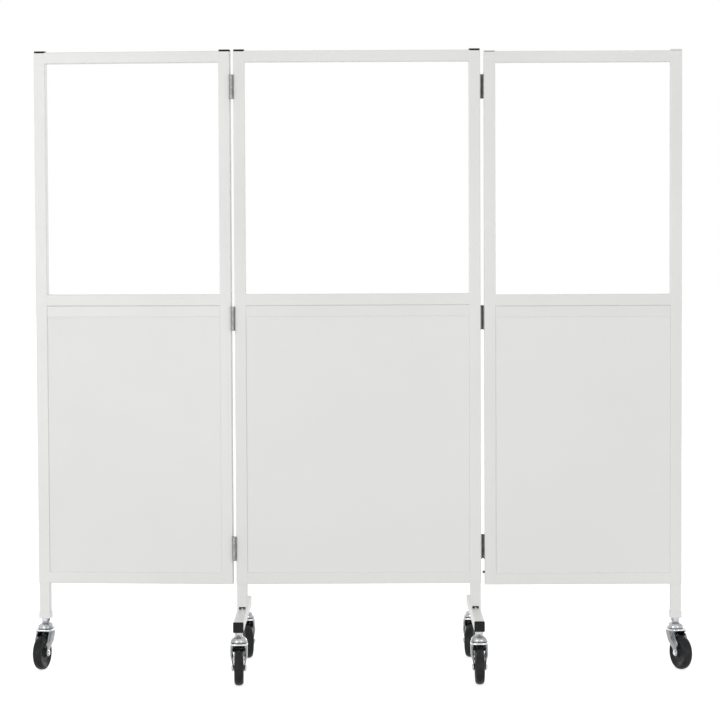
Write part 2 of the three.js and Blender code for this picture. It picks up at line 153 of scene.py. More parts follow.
def roundEdges(bm, edges, width, steps):
    bmesh.ops.bevel(bm, geom=edges, offset=width, segments=steps, profile=0.5, affect="EDGES")


def prism(outline, low, high, edge=0, steps=3):
    bm = lofted([[(p.x, p.y, z) for p in outline] for z in (low, high)])
    if edge:
        ends = [e for e in bm.edges if abs(e.verts[0].co.z - e.verts[1].co.z) < tiny]
        roundEdges(bm, ends, edge, steps)
    return bm


def openTube(outline, bore, low, high):
    bm = bmesh.new()
    (outLow, inLow), (outHigh, inHigh) = [
        [addLoop(bm, [(p.x, p.y, z) for p in ring]) for ring in (outline, bore)]
        for z in (low, high)]
    for lower, upper in ((outLow, outHigh), (inHigh, inLow), (inLow, outLow), (outHigh, inHigh)):
        joinLoops(bm, lower, upper)
    return bm


def turned(profile, sides):
    # a profile of (radius, height) turned about Z; it ends on the axis or closes on itself
    bm = bmesh.new()
    closed = tuple(profile[0]) == tuple(profile[-1])
    rings = []
    for radius, z in profile[:-1] if closed else profile:
        count = 1 if radius < tiny else sides
        turns = [2 * math.pi * k / count for k in range(count)]
        rings.append(addLoop(bm, [(*polar(radius, t), z) for t in turns]))
    pairs = list(zip(rings, rings[1:])) + ([(rings[-1], rings[0])] if closed else [])
    for a, b in pairs:
        for k in range(sides):
            j = (k + 1) % sides
            corners = [a[k % len(a)], a[j % len(a)], b[j % len(b)], b[k % len(b)]]
            corners = list(dict.fromkeys(corners))
            if len(corners) > 2:
                bm.faces.new(corners)
    return bm


def softTurned(points, radii, sides, steps=4):
    return turned([tuple(p) for p in roundedOutline(points, radii, steps)], sides)


def cornersFrom(rows, starts):
    # a row is a radius to start from, the step from it, a height, its step, and a rounding
    points = [(starts[out] + step, starts[up] + rise) for out, step, up, rise, rounding in rows]
    return points, [row[-1] for row in rows]


def rod(radius, low, high, sides):
    return turned([(0, low), (radius, low), (radius, high), (0, high)], sides)


def shifted(bm, matrix):
    bm.transform(matrix)
    bmesh.ops.recalc_face_normals(bm, faces=bm.faces)
    return bm


def rodAlongX(radius, low, high):
    return shifted(rod(radius, low, high, sides=32), runAlongX)


def asObject(bm, name="worked"):
    mesh = bpy.data.meshes.new(name)
    bm.to_mesh(mesh)
    bm.free()
    piece = bpy.data.objects.new(name, mesh)
    bpy.context.scene.collection.objects.link(piece)
    return piece


def removeObject(piece):
    mesh = piece.data
    bpy.data.objects.remove(piece)
    bpy.data.meshes.remove(mesh)


def taken(piece):
    # the object's mesh with its modifiers in it, and the object gone
    bpy.context.view_layer.update()
    bm = bmesh.new()
    bm.from_object(piece, bpy.context.evaluated_depsgraph_get())
    removeObject(piece)
    return bm


def combined(body, others, operation):
    for other in others:
        for bm in (body, other):  # the solver needs normals that face outward
            bmesh.ops.recalc_face_normals(bm, faces=bm.faces)
        base, tool = asObject(body), asObject(other)
        step = base.modifiers.new("cut", "BOOLEAN")
        step.object = tool
        step.operation = operation
        step.solver = "EXACT"
        body = taken(base)
        removeObject(tool)
    return body


def gathered(parts):
    # several shells in one mesh
    whole = bmesh.new()
    for part in parts:
        mesh = bpy.data.meshes.new("part")
        part.to_mesh(mesh)
        part.free()
        whole.from_mesh(mesh)
        bpy.data.meshes.remove(mesh)
    return whole


shading = {"mergeDistance": 0.0001, "sharpAngle": 32}


def makePiece(name, bm, place, body, finish, nodes=(), trim=None):
    # trim is the finish of the faces that the shape marks as its second material
    bmesh.ops.remove_doubles(bm, verts=bm.verts, dist=shading["mergeDistance"])
    bm.transform(Matrix.Scale(metre, 4) @ place)
    bmesh.ops.recalc_face_normals(bm, faces=bm.faces)
    for face in bm.faces:
        face.smooth = True
    limit = math.radians(shading["sharpAngle"])
    for edge in bm.edges:
        edge.smooth = len(edge.link_faces) == 2 and edge.calc_face_angle(0) < limit
    piece = asObject(bm, name)
    piece.data.materials.append(finish["material"])
    if trim:
        piece.data.materials.append(trim["material"])
    even = piece.modifiers.new("evenShading", "WEIGHTED_NORMAL")
    even.keep_sharp = True
    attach(piece, body)
    if nodes:
        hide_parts(*nodes)


# Camera, floor and light

view = {
    "place": (0.00125, -6.978, 1.1639),
    "lens": 132.2,
    "sensor": 36,
    "farthest": 100,
    "pitch": 0.0485,
    "yaw": 0.00036,
    "roll": -0.0045,
}


def setCamera():
    camera = bpy.data.objects.new("camera", bpy.data.cameras.new("camera"))
    camera.data.lens = view["lens"]
    camera.data.sensor_width = view["sensor"]
    camera.data.clip_end = view["farthest"]
    yaw, roll = (Matrix.Rotation(view[turn], 4, "Z") for turn in ("yaw", "roll"))
    pitch = Matrix.Rotation(math.pi / 2 - view["pitch"], 4, "X")
    camera.matrix_world = Matrix.Translation(view["place"]) @ (yaw @ pitch) @ roll
    bpy.context.scene.collection.objects.link(camera)
    bpy.context.scene.camera = camera


studio = {
    "floorSize": 60,
    "floorColour": (0.75, 0.75, 0.75, 1),
    "floorGlow": 0.72,
    "floorShare": 0.2,
    "worldLight": 0.64,
    "lookAt": (0, 0, 0.4),
}
lamps = {
    "keyLamp": {"place": (-4.0, -6.6, 1.35), "size": 2.6, "power": 152},
    "fillLamp": {"place": (4.2, -6.0, 1.3), "size": 2.5, "power": 66},
    "backRightLamp": {"place": (3.9, 6.6, 1.7), "size": 2.6, "power": 66},
    "backLeftLamp": {"place": (-3.9, 6.6, 1.7), "size": 2.6, "power": 46},
}


def seenDirectly(tree):
    # 1 for camera, glossy and transmission rays
    path = tree.nodes.new("ShaderNodeLightPath")
    total = path.outputs["Is Camera Ray"]
    for ray in ("Is Glossy Ray", "Is Transmission Ray"):
        larger = tree.nodes.new("ShaderNodeMath")
        larger.operation = "MAXIMUM"
        tree.links.new(total, larger.inputs[0])
        tree.links.new(path.outputs[ray], larger.inputs[1])
        total = larger.outputs[0]
    return total


def setSurface(tree, lit, seen, output):
    # the shader seen takes the place of lit where the surface is seen directly
    shown = tree.nodes.new("ShaderNodeMixShader")
    tree.links.new(seenDirectly(tree), shown.inputs[0])
    tree.links.new(lit.outputs[0], shown.inputs[1])
    tree.links.new(seen.outputs[0], shown.inputs[2])
    tree.links.new(shown.outputs[0], tree.nodes.new(output).inputs["Surface"])


def setFloor():
    size = studio["floorSize"] / 2
    mesh = bpy.data.meshes.new("floor")
    corners = [(-size, -size, 0), (size, -size, 0), (size, size, 0), (-size, size, 0)]
    mesh.from_pydata(corners, [], [(0, 1, 2, 3)])
    floor = bpy.data.objects.new("floor", mesh)
    bpy.context.scene.collection.objects.link(floor)
    material = bpy.data.materials.new("floorPale")
    material.use_nodes = True
    tree = material.node_tree
    tree.nodes.clear()
    matt = tree.nodes.new("ShaderNodeBsdfDiffuse")
    matt.inputs["Color"].default_value = studio["floorColour"]
    glow = tree.nodes.new("ShaderNodeEmission")
    glow.inputs["Strength"].default_value = studio["floorGlow"] / studio["floorShare"]
    both = tree.nodes.new("ShaderNodeMixShader")
    both.inputs[0].default_value = studio["floorShare"]
    tree.links.new(matt.outputs[0], both.inputs[1])
    tree.links.new(glow.outputs[0], both.inputs[2])
    setSurface(tree, matt, both, "ShaderNodeOutputMaterial")
    mesh.materials.append(material)


def setWorld():
    world = bpy.data.worlds.new("studio")
    bpy.context.scene.world = world
    world.use_nodes = True
    tree = world.node_tree
    tree.nodes.clear()
    backgrounds = []
    for strength in (studio["worldLight"], 1):
        background = tree.nodes.new("ShaderNodeBackground")
        background.inputs["Color"].default_value = (1, 1, 1, 1)
        background.inputs["Strength"].default_value = strength
        backgrounds.append(background)
    setSurface(tree, *backgrounds, "ShaderNodeOutputWorld")


def addLamp(name, lamp):
    light = bpy.data.lights.new(name, "AREA")
    light.size = lamp["size"]
    light.energy = lamp["power"]
    holder = bpy.data.objects.new(name, light)
    holder.location = lamp["place"]
    aim = Vector(studio["lookAt"]) - Vector(lamp["place"])
    holder.rotation_euler = aim.to_track_quat("-Z", "Y").to_euler()
    bpy.context.scene.collection.objects.link(holder)


setCamera()
setFloor()
setWorld()
for name, lamp in lamps.items():
    addLamp(name, lamp)
bpy.context.scene.view_settings.view_transform = "Standard"
print("camera, floor and lamps set")


# Finishes

noiseReach = (0.3, 0.7)  # where a noise's values mostly lie


def addNoise(tree, place, scale, detail, stretch=None):
    if stretch:
        mapping = tree.nodes.new("ShaderNodeMapping")
        mapping.inputs["Scale"].default_value = stretch
        tree.links.new(place, mapping.inputs["Vector"])
        place = mapping.outputs["Vector"]
    noise = tree.nodes.new("ShaderNodeTexNoise")
    noise.inputs["Scale"].default_value = scale
    noise.inputs["Detail"].default_value = detail
    tree.links.new(place, noise.inputs["Vector"])
    return noise.outputs["Fac"]


def addRamp(tree, value, steps, colours):
    ramp = tree.nodes.new("ShaderNodeValToRGB")
    while len(ramp.color_ramp.elements) < len(steps):
        ramp.color_ramp.elements.new(1)
    for element, position, colour in zip(ramp.color_ramp.elements, steps, colours):
        element.position = position
        element.color = (*colour, 1)
    tree.links.new(value, ramp.inputs["Fac"])
    return ramp.outputs["Color"]


# pale specks mixed into a colour: real dust, raised in amount to stand for painted sheen
def addDustAndSheen(tree, body, specks, dustAndSheen):
    share = (dustAndSheen["share"],) * 3
    mix = tree.nodes.new("ShaderNodeMix")
    mix.data_type = "RGBA"
    factor, first, second = mix.inputs[0], mix.inputs[6], mix.inputs[7]
    tree.links.new(addRamp(tree, specks, dustAndSheen["steps"], [(0, 0, 0), share]), factor)
    tree.links.new(body, first)
    second.default_value = (*dustAndSheen["colour"], 1)
    return mix.outputs[2]


def addSpread(tree, value, reach):
    spread = tree.nodes.new("ShaderNodeMapRange")
    spread.inputs["From Min"].default_value, spread.inputs["From Max"].default_value = noiseReach
    spread.inputs["To Min"].default_value, spread.inputs["To Max"].default_value = reach
    tree.links.new(value, spread.inputs["Value"])
    return spread.outputs["Result"]


def addBump(tree, height, depth, strength, after):
    bump = tree.nodes.new("ShaderNodeBump")
    bump.inputs["Distance"].default_value = depth
    bump.inputs["Strength"].default_value = strength
    tree.links.new(height, bump.inputs["Height"])
    if after:
        tree.links.new(after, bump.inputs["Normal"])
    return bump.outputs["Normal"]


def makeFinish(name, slot, look):
    material = bpy.data.materials.new(name)
    material.use_nodes = True
    tree = material.node_tree
    shader = tree.nodes["Principled BSDF"]
    place = tree.nodes.new("ShaderNodeTexCoord").outputs["Object"]
    noises = {key: addNoise(tree, place, *noise) for key, noise in look["noises"].items()}
    colour = addRamp(tree, noises["colour"], look.get("steps", noiseReach), look["colours"])
    if "dustAndSheen" in look:
        colour = addDustAndSheen(tree, colour, noises["dustAndSheen"], look["dustAndSheen"])
    roughness = addSpread(tree, noises["rough"], look["roughness"])
    normal = None
    for noise, depth, strength in look["relief"]:
        normal = addBump(tree, noises[noise], depth, strength, normal)
    tree.links.new(colour, shader.inputs["Base Color"])
    tree.links.new(roughness, shader.inputs["Roughness"])
    tree.links.new(normal, shader.inputs["Normal"])
    shader.inputs["Specular IOR Level"].default_value = look.get("gloss", 0.5)
    shader.inputs["Metallic"].default_value = look.get("metal", 0)
    return {"material": material, "slot": slot}


# In a look, a noise is its scale, its detail and how it is stretched; colours and roughness
# follow the noises colour and rough; a relief is its noise, its depth in metres and its strength

powderLook = {
    "noises": {"colour": (2.2, 4), "rough": (90, 3), "peel": (620, 2), "grain": (2600, 1)},
    "colours": [(0.765, 0.768, 0.755), (0.815, 0.815, 0.80)],
    "roughness": (0.30, 0.40),
    "relief": [("peel", 0.00003, 0.5), ("grain", 0.0000075, 0.3)],
    "gloss": 0.45,
}
laminateLook = {
    "noises": {"colour": (1.1, 5), "rough": (14, 5), "wave": (2.4, 1), "stipple": (1500, 2)},
    "steps": (0.32, 0.68),
    "colours": [(0.775, 0.778, 0.768), (0.81, 0.81, 0.80)],
    "roughness": (0.42, 0.55),
    "relief": [("wave", 0.0006, 0.4), ("stipple", 0.00002, 0.4)],
}
plasticLook = {
    "noises": {"colour": (60, 4), "rough": (240, 3), "spark": (2200, 2)},
    "roughness": (0.4, 0.55),
    "relief": [("spark", 0.00003, 0.6)],
    "gloss": 0.4,
}
blackCapLook = {
    **plasticLook,
    "colours": [(0.008, 0.008, 0.009), (0.014, 0.014, 0.016)],
    "roughness": (0.42, 0.6),
    "gloss": 0.16,
}
greyCapLook = {**plasticLook, "colours": [(0.31, 0.31, 0.32), (0.36, 0.36, 0.37)]}
paleCapLook = {**plasticLook, "colours": [(0.64, 0.64, 0.65), (0.70, 0.70, 0.70)]}
stopLook = {**plasticLook, "colours": [(0.14, 0.14, 0.138), (0.19, 0.19, 0.185)], "gloss": 0.3}
zincLook = {
    "noises": {"colour": (55, 4), "rough": (160, 5), "pits": (900, 3)},
    "steps": (0.32, 0.48, 0.68),
    "colours": [(0.33, 0.35, 0.37), (0.50, 0.515, 0.535), (0.60, 0.59, 0.56)],
    "roughness": (0.15, 0.27),
    "relief": [("pits", 0.00002, 0.5)],
    "metal": 1,
}
# the fork's zinc is made darker than the rest: a painted reflection of a dark room in its flat faces
forkDarkReflectionLook = {
    **zincLook,
    "noises": {**zincLook["noises"], "colour": (38, 4)},
    "colours": [(0.19, 0.20, 0.21), (0.27, 0.28, 0.295), (0.34, 0.335, 0.32)],
    "roughness": (0.14, 0.24),
}
# a paler zinc for the crowns and axle bolts: a painted highlight on their rims and heads
highlightZincLook = {
    **zincLook,
    "noises": {**zincLook["noises"], "colour": (70, 4)},
    "colours": [(0.55, 0.57, 0.59), (0.74, 0.755, 0.77), (0.80, 0.79, 0.76)],
    "roughness": (0.16, 0.28),
}
hingeLook = {
    "noises": {"colour": (70, 3), "rough": (1, 4, (700, 700, 60))},
    "colours": [(0.24, 0.24, 0.236), (0.34, 0.337, 0.328)],
    "roughness": (0.40, 0.56),
    "relief": [("rough", 0.00003, 0.5)],
    "metal": 0.9,
}
rubberLook = {
    "noises": {"colour": (40, 5), "dustAndSheen": (420, 6), "rough": (120, 4), "grain": (1400, 3)},
    "colours": [(0.013, 0.0135, 0.0145), (0.026, 0.027, 0.028)],
    # the pale specks are dust, made more plentiful to paint the tyre's sheen as well
    "dustAndSheen": {"colour": (0.10, 0.10, 0.097), "steps": (0.55, 0.85), "share": 0.5},
    "roughness": (0.30, 0.42),
    "relief": [("grain", 0.00006, 0.5)],
    "gloss": 0.1,
}
# the scale left inside a tube, where no powder reaches, made near black as a painted shade in the
# hollow
bareAndShadedLook = {
    "noises": {"colour": (1, 4, (260, 260, 20)), "rough": (110, 4)},
    "colours": [(0.03, 0.03, 0.03), (0.075, 0.072, 0.068)],
    "roughness": (0.5, 0.7),
    "relief": [("colour", 0.00003, 0.5)],
}

powder = makeFinish("powderCoat", "powder_white", powderLook)
boardFinish = makeFinish("boardLaminate", "sheet_white", laminateLook)
blackPlastic = makeFinish("blackCapPlastic", "cap_black", blackCapLook)
greyPlastic = makeFinish("greyCapPlastic", "cap_grey", greyCapLook)
palePlastic = makeFinish("paleCapPlastic", "cap_pale", paleCapLook)
zinc = makeFinish("zincPlate", "zinc_plate", zincLook)
forkZincDarkReflection = makeFinish("forkZincDarkReflection", "zinc_plate", forkDarkReflectionLook)
highlightZinc = makeFinish("highlightZinc", "zinc_plate", highlightZincLook)
steel = makeFinish("hingeSteel", "hinge_steel", hingeLook)
rubber = makeFinish("wheelRubber", "rubber_grey", rubberLook)
bareAndShaded = makeFinish("bareAndShadedTubeInside", "powder_white", bareAndShadedLook)
stopPlastic = makeFinish("greyStopPlastic", "cap_black", stopLook)
print("finishes made")


# Panel frames: two posts and three rails of square tube, welded and ground

frameTube = {
    "panelBottom": 230,
    "panelHeight": 1411,
    "windowHeight": 611,
    "size": screenPlace["tubeSize"],
    "wall": 1,
    "corner": 2.3,
    "edge": 0.3,
    "postDrop": 2,
    "plate": 2,
    "railOverlap": 1,
}
# a run is the way from the post's face and the share of the bead's rise there
railWeld = {
    "rise": 2.2,
    "groundBelow": 0.45,
    "sink": 0.2,
    "runs": [(-3.2, 1), (0, 1), (0.5, 0.5), (1.1, 0.2), (2.2, -0.05)],
}


def frameHeights():
    f = frameTube
    top = f["panelBottom"] + f["panelHeight"]
    midTop = top - f["size"] - f["windowHeight"]
    return {
        "top": top,
        "postTop": top - f["postDrop"],
        "midTop": midTop,
        "midBottom": midTop - f["size"],
    }


heights = frameHeights()


def tubeOutlines(tube):
    size, inner = tube["size"], tube["size"] - 2 * tube["wall"]
    bore = squareOutline(inner, inner, tube["corner"] - tube["wall"])
    return squareOutline(size, size, tube["corner"]), bore


def weldBead(x, outward, below, above):
    # a bead round a rail's end, ground off at the front and the back
    w, size = railWeld, frameTube["size"]
    rings = []
    for run, share in w["runs"]:
        down = below * w["rise"] * share if below else -w["sink"]
        up = above * w["rise"] * share if above else -w["sink"]
        outline = squareOutline(size - 2 * w["groundBelow"], size + down + up, frameTube["corner"])
        rings.append([(x + outward * run, p.x, p.y + (up - down) / 2) for p in outline])
    return lofted(rings)


def panelFrame(width, footPlated):
    f = frameTube
    size, overlap = f["size"], f["railOverlap"]
    bottom, postTop = f["panelBottom"], heights["postTop"]
    outline, bore = tubeOutlines(f)
    shells, bores = [], []
    for x, plated in ((size / 2, footPlated), (width - size / 2, False)):
        shells.append(shifted(prism(outline, bottom, postTop, f["edge"], steps=2), moved(x)))
        low = bottom + (f["plate"] if plated else -overrun)
        bores.append(shifted(prism(bore, low, postTop + overrun), moved(x)))
    # each rail's top, and whether the bead shows below it and above it
    rails = [(heights["top"], 1, 0), (heights["midTop"], 0, 1), (bottom + size, 0, 1)]
    for top, below, above in rails:
        level = moved(z=top - size / 2)
        rail = prism(outline, size - overlap, width - size + overlap)
        shells.append(shifted(rail, level @ runAlongX))
        for x, outward in ((size, 1), (width - size, -1)):
            shells.append(shifted(weldBead(x, outward, below, above), level))
    whole = combined(shells[0], shells[1:], "UNION")
    return combined(whole, bores, "DIFFERENCE")


def panelPlaces():
    s = screenPlace
    onWing = moved(s["panelGap"] / 2, -s["hingeY"])
    return {
        "centre": places["centre"] @ moved(-s["centreWidth"] / 2),
        "left_wing": places["leftWing"] @ onWing,
        "right_wing": places["rightWing"] @ onWing @ moved(z=-s["rightWingDrop"]),
    }


panelPlace = panelPlaces()
channelSize = {"height": 29, "depth": 27, "wall": 1.6, "bend": 2.2, "inside": 0.6, "lip": 0.5}
boardSize = {"slide": 0.3, "grip": 18, "edge": 0.2, "corner": 1.2}


def panelWidth(body):
    return screenPlace["centreWidth" if body == "centre" else "wingWidth"]


def infillBoard(width):
    b, c, tube = boardSize, channelSize, frameTube["size"]
    half = c["depth"] / 2 - c["wall"] - b["slide"]
    bottom = frameTube["panelBottom"] + tube
    top = heights["midBottom"] - c["height"] + b["grip"]
    outline = squareOutline(width - 2 * tube, top - bottom, b["corner"], steps=3)
    slab = prism(outline, -half, half, b["edge"])
    return shifted(slab, moved(width / 2, 0, (top + bottom) / 2) @ runAlongY)


def headChannel(width):
    # folded strip, open below where the board slides in
    c, tube = channelSize, frameTube["size"]
    y, top = c["depth"] / 2, c["height"]
    inner, under = y - c["wall"], top - c["wall"]
    points = [
        (-y, 0), (-inner, 0), (-inner, under), (inner, under),
        (inner, 0), (y, 0), (y, top), (-y, top),
    ]
    lips, insides, bends = [c["lip"]] * 2, [c["inside"]] * 2, [c["bend"]] * 2
    outline = roundedOutline(points, lips + insides + lips + bends)
    spot = moved(z=heights["midBottom"] - top)
    return shifted(prism(outline, tube, width - tube), spot @ runAlongX)


for name, place in panelPlace.items():
    width = panelWidth(name)
    welded = panelFrame(width, footPlated=name != "centre")
    channel = headChannel(width)
    makePiece(f"{name}Frame", welded, place, name, powder, [f"{name}_frame"])
    makePiece(f"{name}Board", infillBoard(width), place, name, boardFinish, [f"{name}_sheet"])
    makePiece(f"{name}HeadChannel", channel, place, name, powder, [f"{name}_head_channel"])
print("panel frames, boards and channels made")


# Moulded caps in the post tops and the foot ends

capSize = {
    "width": 28.4,
    "head": 5,
    "thinHead": 3,
    "corner": 2.4,
    "edge": 1.3,
    "edgeShare": 0.4,
    "gap": 0.3,
    "plug": 14,
    "plugCorner": 1,
    "plugEdge": 0.6,
    "plugOverlap": 0.5,
    "gate": 2.2,
    "gateDepth": 0.35,
    "gateFlare": 0.3,
    "gateOver": 1,
}


def tubeCap(width, head, bore, corner):
    # a lid with a plug below it and the moulding gate's dimple on top
    c = capSize
    lid = prism(squareOutline(width, width, corner, steps=6), 0, head)
    rim = [e for e in lid.edges if min(v.co.z for v in e.verts) > head - tiny]
    roundEdges(lid, rim, min(c["edge"], head * c["edgeShare"]), steps=4)
    plugSize = bore - 2 * c["gap"]
    plugOutline = squareOutline(plugSize, plugSize, c["plugCorner"], steps=3)
    plug = prism(plugOutline, -c["plug"], c["plugOverlap"], c["plugEdge"], steps=2)
    low, high, gate = head - c["gateDepth"], head + c["gateOver"], c["gate"]
    dimple = turned([(0, low), (gate, low), (gate + c["gateFlare"], high), (0, high)], sides=24)
    return combined(combined(lid, [plug], "UNION"), [dimple], "DIFFERENCE")


# each cap's name, panel, post (0 at its start, 1 at its end), head, finish and solid
postCaps = [
    ("centreLeftCap", "centre", 0, "head", blackPlastic, "centre_left_post_cap"),
    ("centreRightCap", "centre", 1, "head", blackPlastic, "centre_right_post_cap"),
    ("leftInnerCap", "left_wing", 0, "head", blackPlastic, "left_wing_inner_cap"),
    ("leftOuterCap", "left_wing", 1, "head", blackPlastic, "left_wing_outer_cap"),
    ("rightInnerCap", "right_wing", 0, "thinHead", greyPlastic, "right_wing_inner_cap"),
    ("rightOuterCap", "right_wing", 1, "head", palePlastic, "right_wing_outer_cap"),
]
for name, body, far, head, finish, node in postCaps:
    half = frameTube["size"] / 2
    x = (panelWidth(body) - half) if far else half
    bore = frameTube["size"] - 2 * frameTube["wall"]
    cap = tubeCap(capSize["width"], capSize[head], bore, capSize["corner"])
    place = panelPlace[body] @ moved(x, 0, heights["postTop"] + capSize["gap"])
    makePiece(name, cap, place, body, finish, [node])
print("post caps made")


# Legs, feet and collars

legSize = {
    "size": 27.4,
    "wall": 1.6,
    "corner": 2.6,
    "insert": 90,
    "gap": 0.3,
    "drainWidth": 18,
    "drainHeight": 6,
    "drainCorner": 1.2,
}
footSize = {
    "size": 27,
    "wall": 1.6,
    "corner": 2.6,
    "capHead": 4,
    "capGap": 0.3,
    "stemHole": 6.3,
    "holeLow": -3,
    "holeHigh": 6,
    "drain": 20,
    "drainCorner": 2,
    "drainLow": -2.4,
    "drainHigh": 1,
}
# a run is the way above the foot bar and the share of the bead's width there
footWeld = {
    "width": 2.4,
    "runs": [(-1.2, 1), (0, 1), (0.5, 0.5), (1.2, 0.2), (2.4, 0)],
    "sideSink": 0.2,
    "hollow": 2.2,
    "hollowCorner": 1,
    "hollowLow": -0.6,
    "notchOverlap": 1,
    "notchCorner": 0.5,
    "notchLow": 0.3,
    "cutHigh": 9,
    "tackWidth": 3.2,
    "tackLow": -1,
    "tackHigh": 3.4,
    "tackRound": 1.2,
    "tackInset": 0.9,
    "tackFlatness": 0.35,
}
collarSize = {
    "size": 31,
    "height": 16,
    "floor": 6,
    "corner": 3,
    "edge": 1,
    "boreCorner": 2.6,
    "stemHole": 6.3,
    "holeHigh": 9,
}
bareAndShadedFaces = {"slack": 0.05, "steepest": 0.5}


def bareAndShadedInside(bm, half, along, centre=(0, 0, 0)):
    # the faces of a tube's bore take the piece's second material, near black as a painted shade;
    # along is 1 for Y and 2 for Z
    bm.normal_update()
    for face in bm.faces:
        offset = face.calc_center_median() - Vector(centre)
        offset[along] = 0
        inside = max(abs(value) for value in offset) < half + bareAndShadedFaces["slack"]
        lengthwise = abs(face.normal[along]) < bareAndShadedFaces["steepest"]
        face.material_index = 1 if inside and lengthwise else 0
    return bm


def legTube(bottom, drained):
    s = legSize
    leg = openTube(*tubeOutlines(s), bottom, frameTube["panelBottom"] + s["insert"])
    if drained:
        # the notch is in the front wall only
        notch = squareOutline(s["drainWidth"], 2 * s["drainHeight"], s["drainCorner"], steps=3)
        cut = shifted(prism(notch, -s["size"], 0), moved(z=bottom) @ runAlongY)
        leg = combined(leg, [cut], "DIFFERENCE")
    return bareAndShadedInside(leg, s["size"] / 2 - s["wall"], along=2)


def footWelds(top):
    # a bead round the leg that leaves its drain notch open, and a tack before and behind it
    w, leg = footWeld, legSize["size"]
    rings = []
    for rise, share in w["runs"]:
        outline = squareOutline(leg - w["sideSink"], leg + 2 * w["width"] * share, legSize["corner"])
        rings.append([(p.x, p.y, top + rise) for p in outline])
    hollow = squareOutline(leg - w["hollow"], leg - w["hollow"], w["hollowCorner"])
    notch = squareOutline(legSize["drainWidth"] - w["notchOverlap"], 2 * leg, w["notchCorner"])
    cuts = [
        prism(hollow, top + w["hollowLow"], top + w["cutHigh"]),
        shifted(prism(notch, top + w["notchLow"], top + w["cutHigh"]), moved(0, -leg)),
    ]
    welds = [combined(lofted(rings), cuts, "DIFFERENCE")]
    half, low, high = w["tackWidth"] / 2, w["tackLow"], w["tackHigh"]
    flattened = Matrix.Diagonal((1, w["tackFlatness"], 1, 1))
    for side in (-1, 1):
        points = [(0, low), (half, low), (half, high), (0, high)]
        tack = softTurned(points, [0, 0, w["tackRound"], 0], sides=16)
        spot = moved(0, side * (leg / 2 - w["tackInset"]), top)
        welds.append(shifted(tack, spot @ flattened))
    return welds


def footBar():
    f, under = footSize, screenPlace["casterHeight"]
    end = screenPlace["footLength"] / 2 - f["capHead"] - f["capGap"]
    middle, top = under + f["size"] / 2, under + f["size"]
    bar = shifted(openTube(*tubeOutlines(f), -end, end), moved(z=middle) @ runAlongY)
    holes = []
    for side in (-1, 1):
        hole = rod(f["stemHole"], f["holeLow"], f["holeHigh"], sides=24)
        holes.append(shifted(hole, moved(0, side * casterY, under)))
    drain = squareOutline(f["drain"], f["drain"], f["drainCorner"])
    holes.append(prism(drain, top + f["drainLow"], top + f["drainHigh"]))
    bar = combined(bar, holes, "DIFFERENCE")
    bar = combined(bar, footWelds(top), "UNION")
    return bareAndShadedInside(bar, f["size"] / 2 - f["wall"], along=1, centre=(0, 0, middle))


def footCap():
    f, s = footSize, screenPlace
    cap = tubeCap(f["size"], f["capHead"], f["size"] - 2 * f["wall"], f["corner"])
    facingFront = Matrix(((1, 0, 0, 0), (0, 0, -1, 0), (0, 1, 0, 0), (0, 0, 0, 1)))
    spot = moved(0, -s["footLength"] / 2 + f["capHead"], s["casterHeight"] + f["size"] / 2)
    return shifted(cap, spot @ facingFront)


def legCollar():
    c, bottom = collarSize, screenPlace["casterHeight"]
    top, boreSize = bottom + c["height"], legSize["size"] + 2 * legSize["gap"]
    cup = prism(squareOutline(c["size"], c["size"], c["corner"]), bottom, top, c["edge"])
    boreOutline = squareOutline(boreSize, boreSize, c["boreCorner"])
    bore = prism(boreOutline, bottom + c["floor"], top + overrun)
    hole = rod(c["stemHole"], bottom - overrun, bottom + c["holeHigh"], sides=24)
    return combined(cup, [bore, hole], "DIFFERENCE")


for name, side in (("left", -1), ("right", 1)):
    front = places["centre"] @ moved(side * footPostX)
    leg = legTube(screenPlace["casterHeight"] + footSize["size"] + legSize["gap"], drained=True)
    makePiece(f"{name}FootLeg", leg, front, "centre", powder, [f"{name}_foot_leg"], bareAndShaded)
    makePiece(f"{name}FootBar", footBar(), front, "centre", powder, [f"{name}_foot_bar"], bareAndShaded)
    for end, place in (("Front", front), ("Rear", front @ turnedAboutZ(180))):
        node = f"{name}_foot_{end.lower()}_cap"
        makePiece(f"{name}{end}FootCap", footCap(), place, "centre", blackPlastic, [node])
for name in ("left", "right"):
    place, body = places[f"{name}Wing"] @ moved(wingPostX, wingPostY), f"{name}_wing"
    leg = legTube(screenPlace["casterHeight"] + collarSize["floor"] + legSize["gap"], drained=False)
    makePiece(f"{name}WingLeg", leg, place, body, powder, [f"{name}_wing_leg"], bareAndShaded)
    makePiece(f"{name}WingCollar", legCollar(), place, body, powder, [f"{name}_wing_collar"])
print("legs, feet and collars made")


# Butt hinges with rolled knuckles

hingeSize = {
    "height": 64,
    "inset": 95,
    "barrel": 4.7,
    "thickness": 2,
    "leafDepth": 26,
    "leafEdge": 0.2,
    "corner": 3,
    "gap": 0.5,
    "knuckles": 5,
    "knuckleEdge": 0.25,
    "bore": 2.75,
    "curl": 296,
    "curlSteps": 26,
    "curlOverlap": 1.6,
    "pin": 2.4,
    "pinRound": 0.7,
    "screws": [(-20, 23), (-13, 8), (-20, -8), (-13, -23)],
}
screwSize = {
    "shank": 1.4,
    "depth": 1.2,
    "head": 3.3,
    "crestShare": 0.6,
    "crest": 0.35,
    "top": 0.4,
    "rounds": [0, 0, 0.15, 0.5, 0],
    "slots": [(3.4, 0.7), (0.7, 3.4)],
    "slotCorner": 0.2,
    "slotLow": -0.5,
    "slotHigh": 1,
}


def countersunkScrew():
    s = screwSize
    points = [
        (0, -s["depth"]), (s["shank"], -s["depth"]), (s["head"], 0),
        (s["head"] * s["crestShare"], s["crest"]), (0, s["top"]),
    ]
    head = softTurned(points, s["rounds"], sides=20, steps=2)
    outlines = [squareOutline(*slot, s["slotCorner"], steps=1) for slot in s["slots"]]
    cross = [prism(outline, s["slotLow"], s["slotHigh"]) for outline in outlines]
    return combined(head, cross, "DIFFERENCE")


